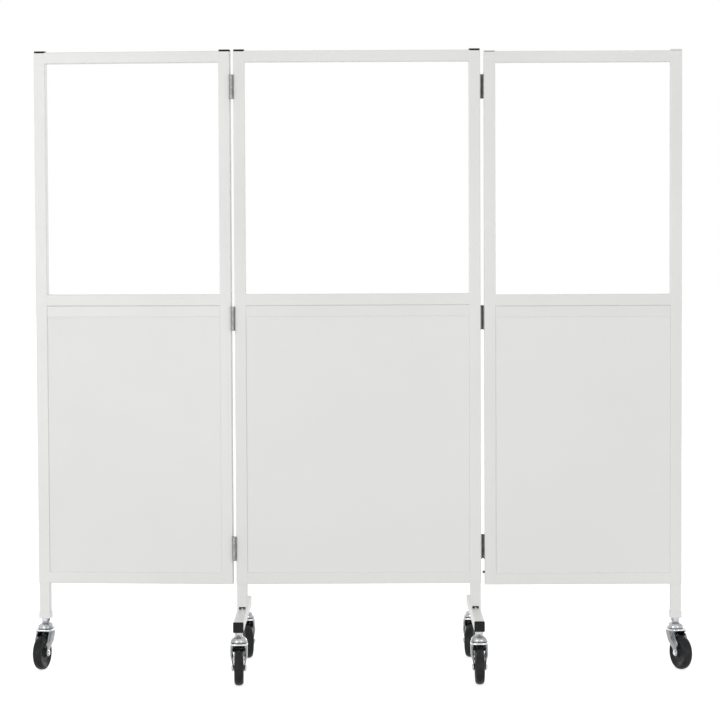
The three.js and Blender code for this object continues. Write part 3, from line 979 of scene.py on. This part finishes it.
def rolledKnuckle(low, high):
    # the leaf's strip curls round the pin and ends just short of the leaf
    h = hingeSize
    outer, foot = h["barrel"], -h["barrel"] - h["curlOverlap"]
    turns = [math.radians(h["curl"]) * k / h["curlSteps"] for k in range(h["curlSteps"] + 1)]
    outline = [Vector((outer - h["thickness"], foot)), Vector((outer, foot))]
    outline += [Vector(polar(outer, t)) for t in turns]
    outline += [Vector(polar(h["bore"], t)) for t in reversed(turns)]
    return prism(outline, low, high, h["knuckleEdge"], steps=2)


def hingeLeaf(firstKnuckle):
    h = hingeSize
    half, back, edge = h["height"] / 2, -h["leafDepth"], -h["barrel"] - h["gap"]
    under, pitch = h["barrel"] - h["thickness"], h["height"] / h["knuckles"]
    corners = [(-half, back), (half, back), (half, edge), (-half, edge)]
    outline = roundedOutline(corners, [h["corner"], h["corner"], 0, 0])
    standing = Matrix(((0, 0, 1, 0), (0, 1, 0, 0), (-1, 0, 0, 0), (0, 0, 0, 1)))
    plate = shifted(prism(outline, under, h["barrel"], h["leafEdge"], steps=2), standing)
    knuckles = []
    for i in range(firstKnuckle, h["knuckles"], 2):
        low = -half + i * pitch + (h["gap"] / 2 if i else 0)
        high = -half + (i + 1) * pitch - (h["gap"] / 2 if i < h["knuckles"] - 1 else 0)
        knuckles.append(rolledKnuckle(low, high))
    leaf = combined(plate, knuckles, "UNION")
    facing = Matrix(((0, 0, -1, 0), (0, 1, 0, 0), (1, 0, 0, 0), (0, 0, 0, 1)))
    screws = [shifted(countersunkScrew(), moved(under, y, z) @ facing) for y, z in h["screws"]]
    return gathered([leaf] + screws)


def hingePin():
    radius, half, ends = hingeSize["pin"], hingeSize["height"] / 2, hingeSize["pinRound"]
    points = [(0, -half), (radius, -half), (radius, half), (0, half)]
    return softTurned(points, [0, ends, ends, 0], sides=24, steps=3)


flipX = Matrix.Diagonal((-1, 1, 1, 1))
hingePlaces = {
    "upper": heights["top"] - hingeSize["inset"],
    "middle": (heights["top"] + frameTube["panelBottom"]) / 2,
    "lower": frameTube["panelBottom"] + hingeSize["inset"],
}
fixedLeafShape = shifted(hingeLeaf(0), flipX)
wingLeafShape = hingeLeaf(1)
for side in ("left", "right"):
    for level, z in hingePlaces.items():
        node, body = f"{side}_{level}_hinge", f"{side}_wing"
        name = f"{side}{level.capitalize()}Hinge"
        fixed, swinging = places[f"{side}Hinge"] @ moved(z=z), places[f"{side}Wing"] @ moved(z=z)
        fixedLeaf, wingLeaf = fixedLeafShape.copy(), wingLeafShape.copy()
        makePiece(f"{name}FixedLeaf", fixedLeaf, fixed, "centre", steel, [f"{node}_fixed_leaf"])
        makePiece(f"{name}WingLeaf", wingLeaf, swinging, body, steel, [f"{node}_wing_leaf"])
        makePiece(f"{name}Pin", hingePin(), fixed, "centre", steel)
print("hinges made")

stopSize = {
    "radius": 3.6,
    "reach": 6,
    "share": 0.55,
    "rounds": [0, 0.3, 1.4, 1.2, 0],
    "height": 33,
    "offset": 6,
    "gap": 0.3,
}


def bumpStop():
    radius, reach, share = stopSize["radius"], stopSize["reach"], stopSize["share"]
    points = [(0, 0), (radius, 0), (radius, reach * share), (radius * share, reach), (0, reach)]
    button = softTurned(points, stopSize["rounds"], sides=28)
    return shifted(button, Matrix.Rotation(-math.pi / 2, 4, "Y"))


stopPlace = places["rightWing"] @ moved(
    screenPlace["panelGap"] / 2 - stopSize["gap"],
    -screenPlace["hingeY"] - stopSize["offset"],
    frameTube["panelBottom"] + stopSize["height"] - screenPlace["rightWingDrop"])
makePiece("bumpStop", bumpStop(), stopPlace, "right_wing", stopPlastic, ["right_wing_bump_stop"])
print("bump stop made")


# Swivel casters. Each is built at its swivel axis with the wheel trailing to +Y

casterSize = {
    "wheelRadius": 45,
    "wheelWidth": 24,
    "trail": 29,
    "axle": 4,
    "raceBottom": 107,
    "raceGap": 0.8,
    "nutHeight": 9,
}
# the cup narrows from bendTop to bendBottom, and below the shoulder it leans back to the axle
forkSize = {
    "plate": 2.5,
    "span": 22.6,
    "waist": 17,
    "bendTop": 78,
    "bendBottom": 51,
    "shoulder": 96,
    "skirtBottom": 79,
    "skirtColumns": 10,
    "depthShare": 1.2,
    "squareness": 3,
    "shift": 3,
    "reach": 22,
    "draw": 70,
    "neckReach": 11,
    "neck": 56,
    "boss": 9.5,
    "room": 1.6,
    "columns": 14,
    "crownOverlap": 2,
    "cupLevels": [98.5, 96, 93.5, 91, 88.5, 86, 83.5, 81],
    "armLevels": [77, 75, 73, 71.5, 70, 68, 66, 63.5, 61, 58.5, 56, 54, 52, 50, 48, 46.5],
    "bossTurns": [6, 18, 30, 42, 54, 66, 76, 84],
    "sheetEdge": 0.5,
    "sheetAngle": 55,
    "axleGap": 0.2,
    "axleReach": 30,
    "highlightSlope": 0.6,
    "highlightArea": 30,
}
crownSize = {
    "thickness": 5,
    "rim": 0.6,
    "edge": 1.8,
    "edgeSteps": 4,
    "sides": 72,
    "pinGap": 0.5,
    "holeLow": 95,
    "holeHigh": 110,
}
crownTop = casterSize["raceBottom"] - casterSize["raceGap"]
crownBottom = crownTop - crownSize["thickness"]
nutBottom = screenPlace["casterHeight"] - casterSize["nutHeight"]


def eased(share):
    return share * share * (3 - 2 * share)


def forkHalfWidth(z):
    k = forkSize
    share = min(1, max(0, (z - k["bendBottom"]) / (k["bendTop"] - k["bendBottom"])))
    return k["waist"] + (k["span"] - k["waist"]) * eased(share)


def forkMiddle(z):
    k, c = forkSize, casterSize
    share = min(1, max(0, (k["shoulder"] - z) / (k["shoulder"] - c["wheelRadius"])))
    return k["shift"] + share * (c["trail"] - k["shift"])


def forkRound(share):
    # the cup's outline, between an ellipse and a square
    power = forkSize["squareness"]
    return (1 - share ** power) ** (1 / power)


def forkReach(z, x):
    # how far the cup's wall stands from its middle, front or back, at x
    half = forkHalfWidth(z)
    return forkSize["depthShare"] * half * forkRound(x / half)


def forkEdge(z, side):
    # the arm's edge seen from the side: it draws in to a neck and runs on into the boss
    k, c = forkSize, casterSize
    if z >= k["neck"]:
        share = min(1, (z - k["neck"]) / (k["draw"] - k["neck"]))
        reach = k["neckReach"] + (k["reach"] - k["neckReach"]) * eased(share)
        return forkMiddle(z) - side * reach
    start = forkMiddle(k["neck"]) - side * k["neckReach"]
    across, up = start - c["trail"], k["neck"] - c["wheelRadius"]
    angle = math.atan2(up, across) + side * math.acos(k["boss"] / math.hypot(across, up))
    bossX, bossZ = polar(k["boss"], angle)
    touchX, touchZ = c["trail"] + bossX, c["wheelRadius"] + bossZ
    if z > touchZ:
        return start + (touchX - start) * (k["neck"] - z) / (k["neck"] - touchZ)
    return c["trail"] - side * math.sqrt(max(0, k["boss"] ** 2 - (z - c["wheelRadius"]) ** 2))


def forkLevels():
    k = forkSize
    turns = [math.radians(t) for t in k["bossTurns"]]
    boss = [casterSize["wheelRadius"] - k["boss"] * math.sin(t) for t in turns]
    top = [crownTop - k["crownOverlap"], crownBottom]
    return top + k["cupLevels"] + [k["skirtBottom"]] + k["armLevels"] + boss


def forkRow(bm, z):
    # one level's points on each arm, and on the skirt that joins them before the wheel
    k, half = forkSize, forkHalfWidth(z)
    slot = casterSize["wheelWidth"] / 2 + k["room"]
    middle, reach = forkMiddle(z), forkReach(z, slot)
    front = max(middle - reach, forkEdge(z, 1))
    back = min(middle + reach, forkEdge(z, -1))
    row = {1: [], -1: [], "skirt": []}
    for side in (1, -1):
        for i in range(k["columns"] + 1):
            t = math.sin(math.pi * (i / k["columns"] - 0.5))
            y = (front + back) / 2 + t * (back - front) / 2
            share = min(1, abs(y - middle) / (k["depthShare"] * half))
            row[side].append(bm.verts.new((side * (half * forkRound(share)), y, z)))
    if z >= k["skirtBottom"]:
        xs = [slot * (1 - 2 * i / k["skirtColumns"]) for i in range(1, k["skirtColumns"])]
        skirt = [bm.verts.new((x, middle - forkReach(z, abs(x)), z)) for x in xs]
        row["skirt"] = [row[1][0]] + skirt + [row[-1][0]]
    return row


def forkArms():
    k = forkSize
    bm = bmesh.new()
    rows = [forkRow(bm, z) for z in forkLevels()]
    for above, below in zip(rows, rows[1:]):
        for part in (1, -1, "skirt"):
            a, b = above[part], below[part]
            for i in range(len(a) - 1 if b else 0):
                corners = (a[i], a[i + 1], b[i + 1], b[i])
                bm.faces.new(corners if part == -1 else corners[::-1])
    bmesh.ops.recalc_face_normals(bm, faces=bm.faces)
    outer = max(bm.faces, key=lambda face: face.calc_center_median().x)
    if outer.normal.x < 0:
        bmesh.ops.reverse_faces(bm, faces=bm.faces)
    arms = asObject(bm)
    plate = arms.modifiers.new("plate", "SOLIDIFY")
    plate.thickness = k["plate"]
    plate.offset = -1
    plate.use_even_offset = True
    edge = arms.modifiers.new("edge", "BEVEL")
    edge.width = k["sheetEdge"]
    edge.segments = 2
    edge.limit_method = "ANGLE"
    edge.angle_limit = math.radians(k["sheetAngle"])
    return taken(arms)


def forkCrown():
    k, c = forkSize, crownSize
    edge, sides, power = c["edge"], c["sides"], 2 / k["squareness"]
    turns = [math.radians(90 * i / c["edgeSteps"]) for i in range(c["edgeSteps"] + 1)]
    levels = [(crownBottom + edge - edge * math.cos(t), edge - edge * math.sin(t)) for t in turns]
    levels += [(crownBottom + crownTop - z, inset) for z, inset in reversed(levels)]
    rings = []
    for z, inset in levels:
        wide = k["span"] + c["rim"] - inset
        deep = (k["span"] + c["rim"]) * k["depthShare"] - inset
        ring = []
        for across, along in [polar(1, 2 * math.pi * i / sides) for i in range(sides)]:
            x = math.copysign(abs(across) ** power, across) * wide
            y = math.copysign(abs(along) ** power, along) * deep
            ring.append((x, k["shift"] + y, z))
        rings.append(ring)
    return lofted(rings)


def boredArms():
    k, c = forkSize, casterSize
    bore = rodAlongX(c["axle"] + k["axleGap"], -k["axleReach"], k["axleReach"])
    bore.transform(moved(0, c["trail"], c["wheelRadius"]))
    arms = combined(forkArms(), [bore], "DIFFERENCE")
    bmesh.ops.recalc_face_normals(arms, faces=arms.faces)
    for face in arms.faces:
        # the cut edges beside the wheel take the paler plain zinc: a painted highlight
        outside = abs(face.calc_center_median().x) > c["wheelWidth"] / 2
        cut = abs(face.normal.x) < k["highlightSlope"] and face.calc_area() < k["highlightArea"]
        face.material_index = 1 if outside and cut else 0
    return arms


def boredCrown():
    c = crownSize
    hole = rod(rivetSize["radius"] + c["pinGap"], c["holeLow"], c["holeHigh"], sides=32)
    return combined(forkCrown(), [hole], "DIFFERENCE")


raceSize = {
    "radius": 22.4,
    "top": 126,
    "neck": 9,
    "sideShare": 0.84,
    "crestShare": 0.68,
    "corners": [
        ("axis", 0, "bottom", 3, 0),
        ("rim", -5, "bottom", 3, 2),
        ("rim", -2.6, "bottom", 0, 0.3),
        ("rim", -1, "bottom", 0, 0.4),
        ("rim", 0, "bottom", 1, 0.4),
        ("rim", 0, "bottom", 2.3, 0.3),
        ("rim", -1.5, "bottom", 3, 0.4),
        ("rim", -1.7, "bottom", 6, 2),
        ("side", 0, "bottom", 10.5, 3),
        ("crest", 0, "bottom", 13, 3),
        ("neck", 2.2, "top", -3, 2),
        ("neck", 0.6, "top", -0.2, 0.4),
        ("neck", 0, "top", 0, 0.3),
        ("neck", 0, "nut", 0, 0),
        ("axis", 0, "nut", 0, 0),
    ],
}


def raceDome():
    r = raceSize
    starts = {
        "axis": 0,
        "rim": r["radius"],
        "side": r["radius"] * r["sideShare"],
        "crest": r["radius"] * r["crestShare"],
        "neck": r["neck"],
        "bottom": casterSize["raceBottom"],
        "top": r["top"],
        "nut": nutBottom,
    }
    return softTurned(*cornersFrom(r["corners"], starts), sides=64)


nutSize = {"width": 19, "gap": 0.3, "cornerShare": 1.16, "slope": 1.1}


def lockNut():
    n, low, high = nutSize, nutBottom, screenPlace["casterHeight"] - nutSize["gap"]
    half, wide = n["width"] / 2, n["width"] / 2 * n["cornerShare"]
    corners = [(half, low), (wide, low + n["slope"]), (wide, high - n["slope"]), (half, high)]
    cone = turned([(0, low)] + corners + [(0, high)], sides=48)
    return combined(prism(hexOutline(n["width"]), low, high), [cone], "INTERSECT")


stemSize = {"radius": 5.8, "reach": 17, "sink": 2, "thread": 0.6, "pitch": 1.5, "tip": 1.4}


def threadedStem():
    s, top = stemSize, screenPlace["casterHeight"] + stemSize["reach"]
    radius, root = s["radius"], s["radius"] - s["thread"]
    profile = [(0, nutBottom - s["sink"]), (root, nutBottom - s["sink"])]
    z = nutBottom
    while z < top - s["pitch"]:
        profile += [(root, z), (radius, z + s["pitch"] / 2)]
        z += s["pitch"]
    return turned(profile + [(root, z), (radius - s["tip"], top), (0, top)], sides=32)


rivetSize = {
    "radius": 5,
    "head": 8,
    "reach": 4,
    "faceShare": 0.7,
    "headHeight": 3.5,
    "headSide": 1.6,
    "rounds": [0, 1, 0.8, 0.2, 0, 0, 0],
}


def kingpinRivet():
    r, radius, head = rivetSize, rivetSize["radius"], rivetSize["head"]
    high = casterSize["raceBottom"] + r["reach"]
    headTop = crownBottom - casterSize["raceGap"] / 2
    face = headTop - r["headHeight"]
    points = [
        (0, face), (head * r["faceShare"], face), (head, headTop - r["headSide"]),
        (head, headTop), (radius, headTop), (radius, high), (0, high),
    ]
    return softTurned(points, r["rounds"], sides=32)


ballSize = {"count": 20, "radius": 1.5, "circle": 15.6, "stepDegrees": 30}


def raceBalls():
    b, radius = ballSize, ballSize["radius"]
    turns = [math.radians(t) for t in range(b["stepDegrees"], 180, b["stepDegrees"])]
    arc = [(radius * math.sin(t), -radius * math.cos(t)) for t in turns]
    balls = []
    for i in range(b["count"]):
        ball = turned([(0, -radius)] + arc + [(0, radius)], sides=12)
        x, y = polar(b["circle"], 2 * math.pi * i / b["count"])
        balls.append(shifted(ball, moved(x, y, crownTop + radius)))
    return gathered(balls)


boltSize = {
    "width": 13,
    "head": 3.5,
    "cornerShare": 1.16,
    "faceShare": 0.92,
    "slope": 0.9,
    "seatSink": 0.4,
    "rodInset": 1,
    "washerRadius": 8,
    "washer": 0.9,
    "washerSink": 0.8,
    "washerRound": 0.3,
}


def axleBolt():
    # head, washers and nut, clamped on the fork's arms
    b, c = boltSize, casterSize
    seat, end = forkSize["waist"] - b["seatSink"], forkSize["waist"] + b["head"]
    half, reach, washer = b["width"] / 2, end - b["rodInset"], b["washerRadius"]
    wide = half * b["cornerShare"]
    low, high, soft = seat - b["washerSink"], seat + b["washer"], b["washerRound"]
    face, edge = half * b["faceShare"], end - b["slope"]
    cornered = [(0, seat), (wide, seat), (wide, edge), (face, end), (0, end)]
    flat = [(0, low), (washer, low), (washer, high), (0, high)]
    shells = [rodAlongX(c["axle"], -reach, reach)]
    for side in (-1, 1):
        head = prism(hexOutline(b["width"]), high, end)
        head = combined(head, [turned(cornered, sides=40)], "INTERSECT")
        ring = softTurned(flat, [0, soft, soft, 0], sides=36, steps=2)
        facing = Matrix(((0, 0, side, 0), (1, 0, 0, 0), (0, side, 0, 0), (0, 0, 0, 1)))
        shells += [shifted(head, facing), shifted(ring, facing)]
    return shifted(gathered(shells), moved(0, c["trail"], c["wheelRadius"]))


wheelSize = {
    "rimRadius": 31,
    "rimRecess": 3.5,
    "hubRadius": 11,
    "hubWidth": 27,
    "axleGap": 0.5,
    "treadShare": 0.12,
    "tyre": [
        ("rim", -2, "side", -2.4, 0),
        ("rim", 0.8, "side", -0.2, 0.6),
        ("rim", 2.5, "side", 0, 1.5),
        ("tread", -2, "side", 0, 8),
        ("tread", 0, "treadSide", 0, 6),
    ],
    "centre": [
        ("bore", 0, "hub", 0, 0.2),
        ("bore", 2.2, "hub", 0, 0.4),
        ("bore", 2.6, "hub", -0.7, 0.3),
        ("hubRadius", -0.6, "hub", -0.9, 0.8),
        ("hubRadius", 0, "hub", -2, 0.8),
        ("hubRadius", 1.4, "face", 0.2, 1.2),
        ("hubRadius", 4, "face", -1.2, 2),
        ("rimRadius", -5, "face", -1.2, 2),
        ("rimRadius", -2.4, "face", 0.3, 1.2),
        ("rimRadius", 0.6, "side", -2.2, 1),
        ("rim", -1.4, "side", -1.9, 0.4),
        ("rim", -1.2, "side", -2.8, 0),
    ],
}


def wheelPart(rows, first, steps, sides):
    # half a profile and its mirror image, turned; first is 1 or -1, the side it begins on
    w, side = wheelSize, casterSize["wheelWidth"] / 2
    starts = {
        "bore": casterSize["axle"] + w["axleGap"],
        "hubRadius": w["hubRadius"],
        "rimRadius": w["rimRadius"],
        "rim": w["rimRadius"] + w["rimRecess"],
        "tread": casterSize["wheelRadius"],
        "hub": w["hubWidth"] / 2,
        "face": side - w["rimRecess"],
        "side": side,
        "treadSide": side * w["treadShare"],
    }
    corners, rounds = cornersFrom(rows, starts)
    half = [(radius, first * x) for radius, x in corners]
    whole = half + [(radius, -x) for radius, x in reversed(half)]
    outline = [tuple(p) for p in roundedOutline(whole, rounds + rounds[::-1], steps)]
    return turned(outline + [outline[0]], sides)


# each caster's body, the place it is in, its swivel axis there and how far it is turned
casters = {
    "left_front": ("centre", "centre", -footPostX, -casterY, 2),
    "right_front": ("centre", "centre", footPostX, -casterY, 0),
    "left_rear": ("centre", "centre", -footPostX, casterY, 10),
    "right_rear": ("centre", "centre", footPostX, casterY, -10.5),
    "left_wing": ("left_wing", "leftWing", wingPostX, wingPostY, -15),
    "right_wing": ("right_wing", "rightWing", wingPostX, wingPostY, 24),
}
fixedShapes = {
    "Race": raceDome(),
    "LockNut": lockNut(),
    "Stem": threadedStem(),
    "Kingpin": kingpinRivet(),
    "Balls": raceBalls(),
}
forkShapes = {"Fork": boredArms(), "Crown": boredCrown(), "AxleBolt": axleBolt()}
tyreShape = wheelPart(wheelSize["tyre"], -1, steps=7, sides=96)
centreShape = wheelPart(wheelSize["centre"], 1, steps=3, sides=72)

for name, (body, where, x, y, degrees) in casters.items():
    side, end = name.split("_")
    label = side + end.capitalize() + "Caster"
    fixed = places[where] @ moved(x, y)
    swivel = moved(*fixed.to_translation()) @ turnedAboutZ(180 + degrees)
    axle = swivel @ moved(0, casterSize["trail"], casterSize["wheelRadius"]) @ runAlongX
    stemNode, forkNode, wheelNode = (f"{name}_caster_{part}" for part in ("stem", "fork", "wheel"))
    for part, shape in fixedShapes.items():
        nodes = [stemNode] if part == "Race" else []
        makePiece(label + part, shape.copy(), fixed, body, zinc, nodes)
    for part, shape in forkShapes.items():
        nodes = [forkNode] if part == "Fork" else []
        # the fork's cut edges take the plain zinc, and the crown and axle bolt the paler zinc, both
        # as painted highlights
        finish, trim = (forkZincDarkReflection, zinc) if part == "Fork" else (highlightZinc, None)
        makePiece(label + part, shape.copy(), swivel, f"{name}_fork", finish, nodes, trim)
    makePiece(label + "Tyre", tyreShape.copy(), axle, f"{name}_wheel", rubber, [wheelNode])
    makePiece(label + "Centre", centreShape.copy(), axle, f"{name}_wheel", rubber)
print("casters made")
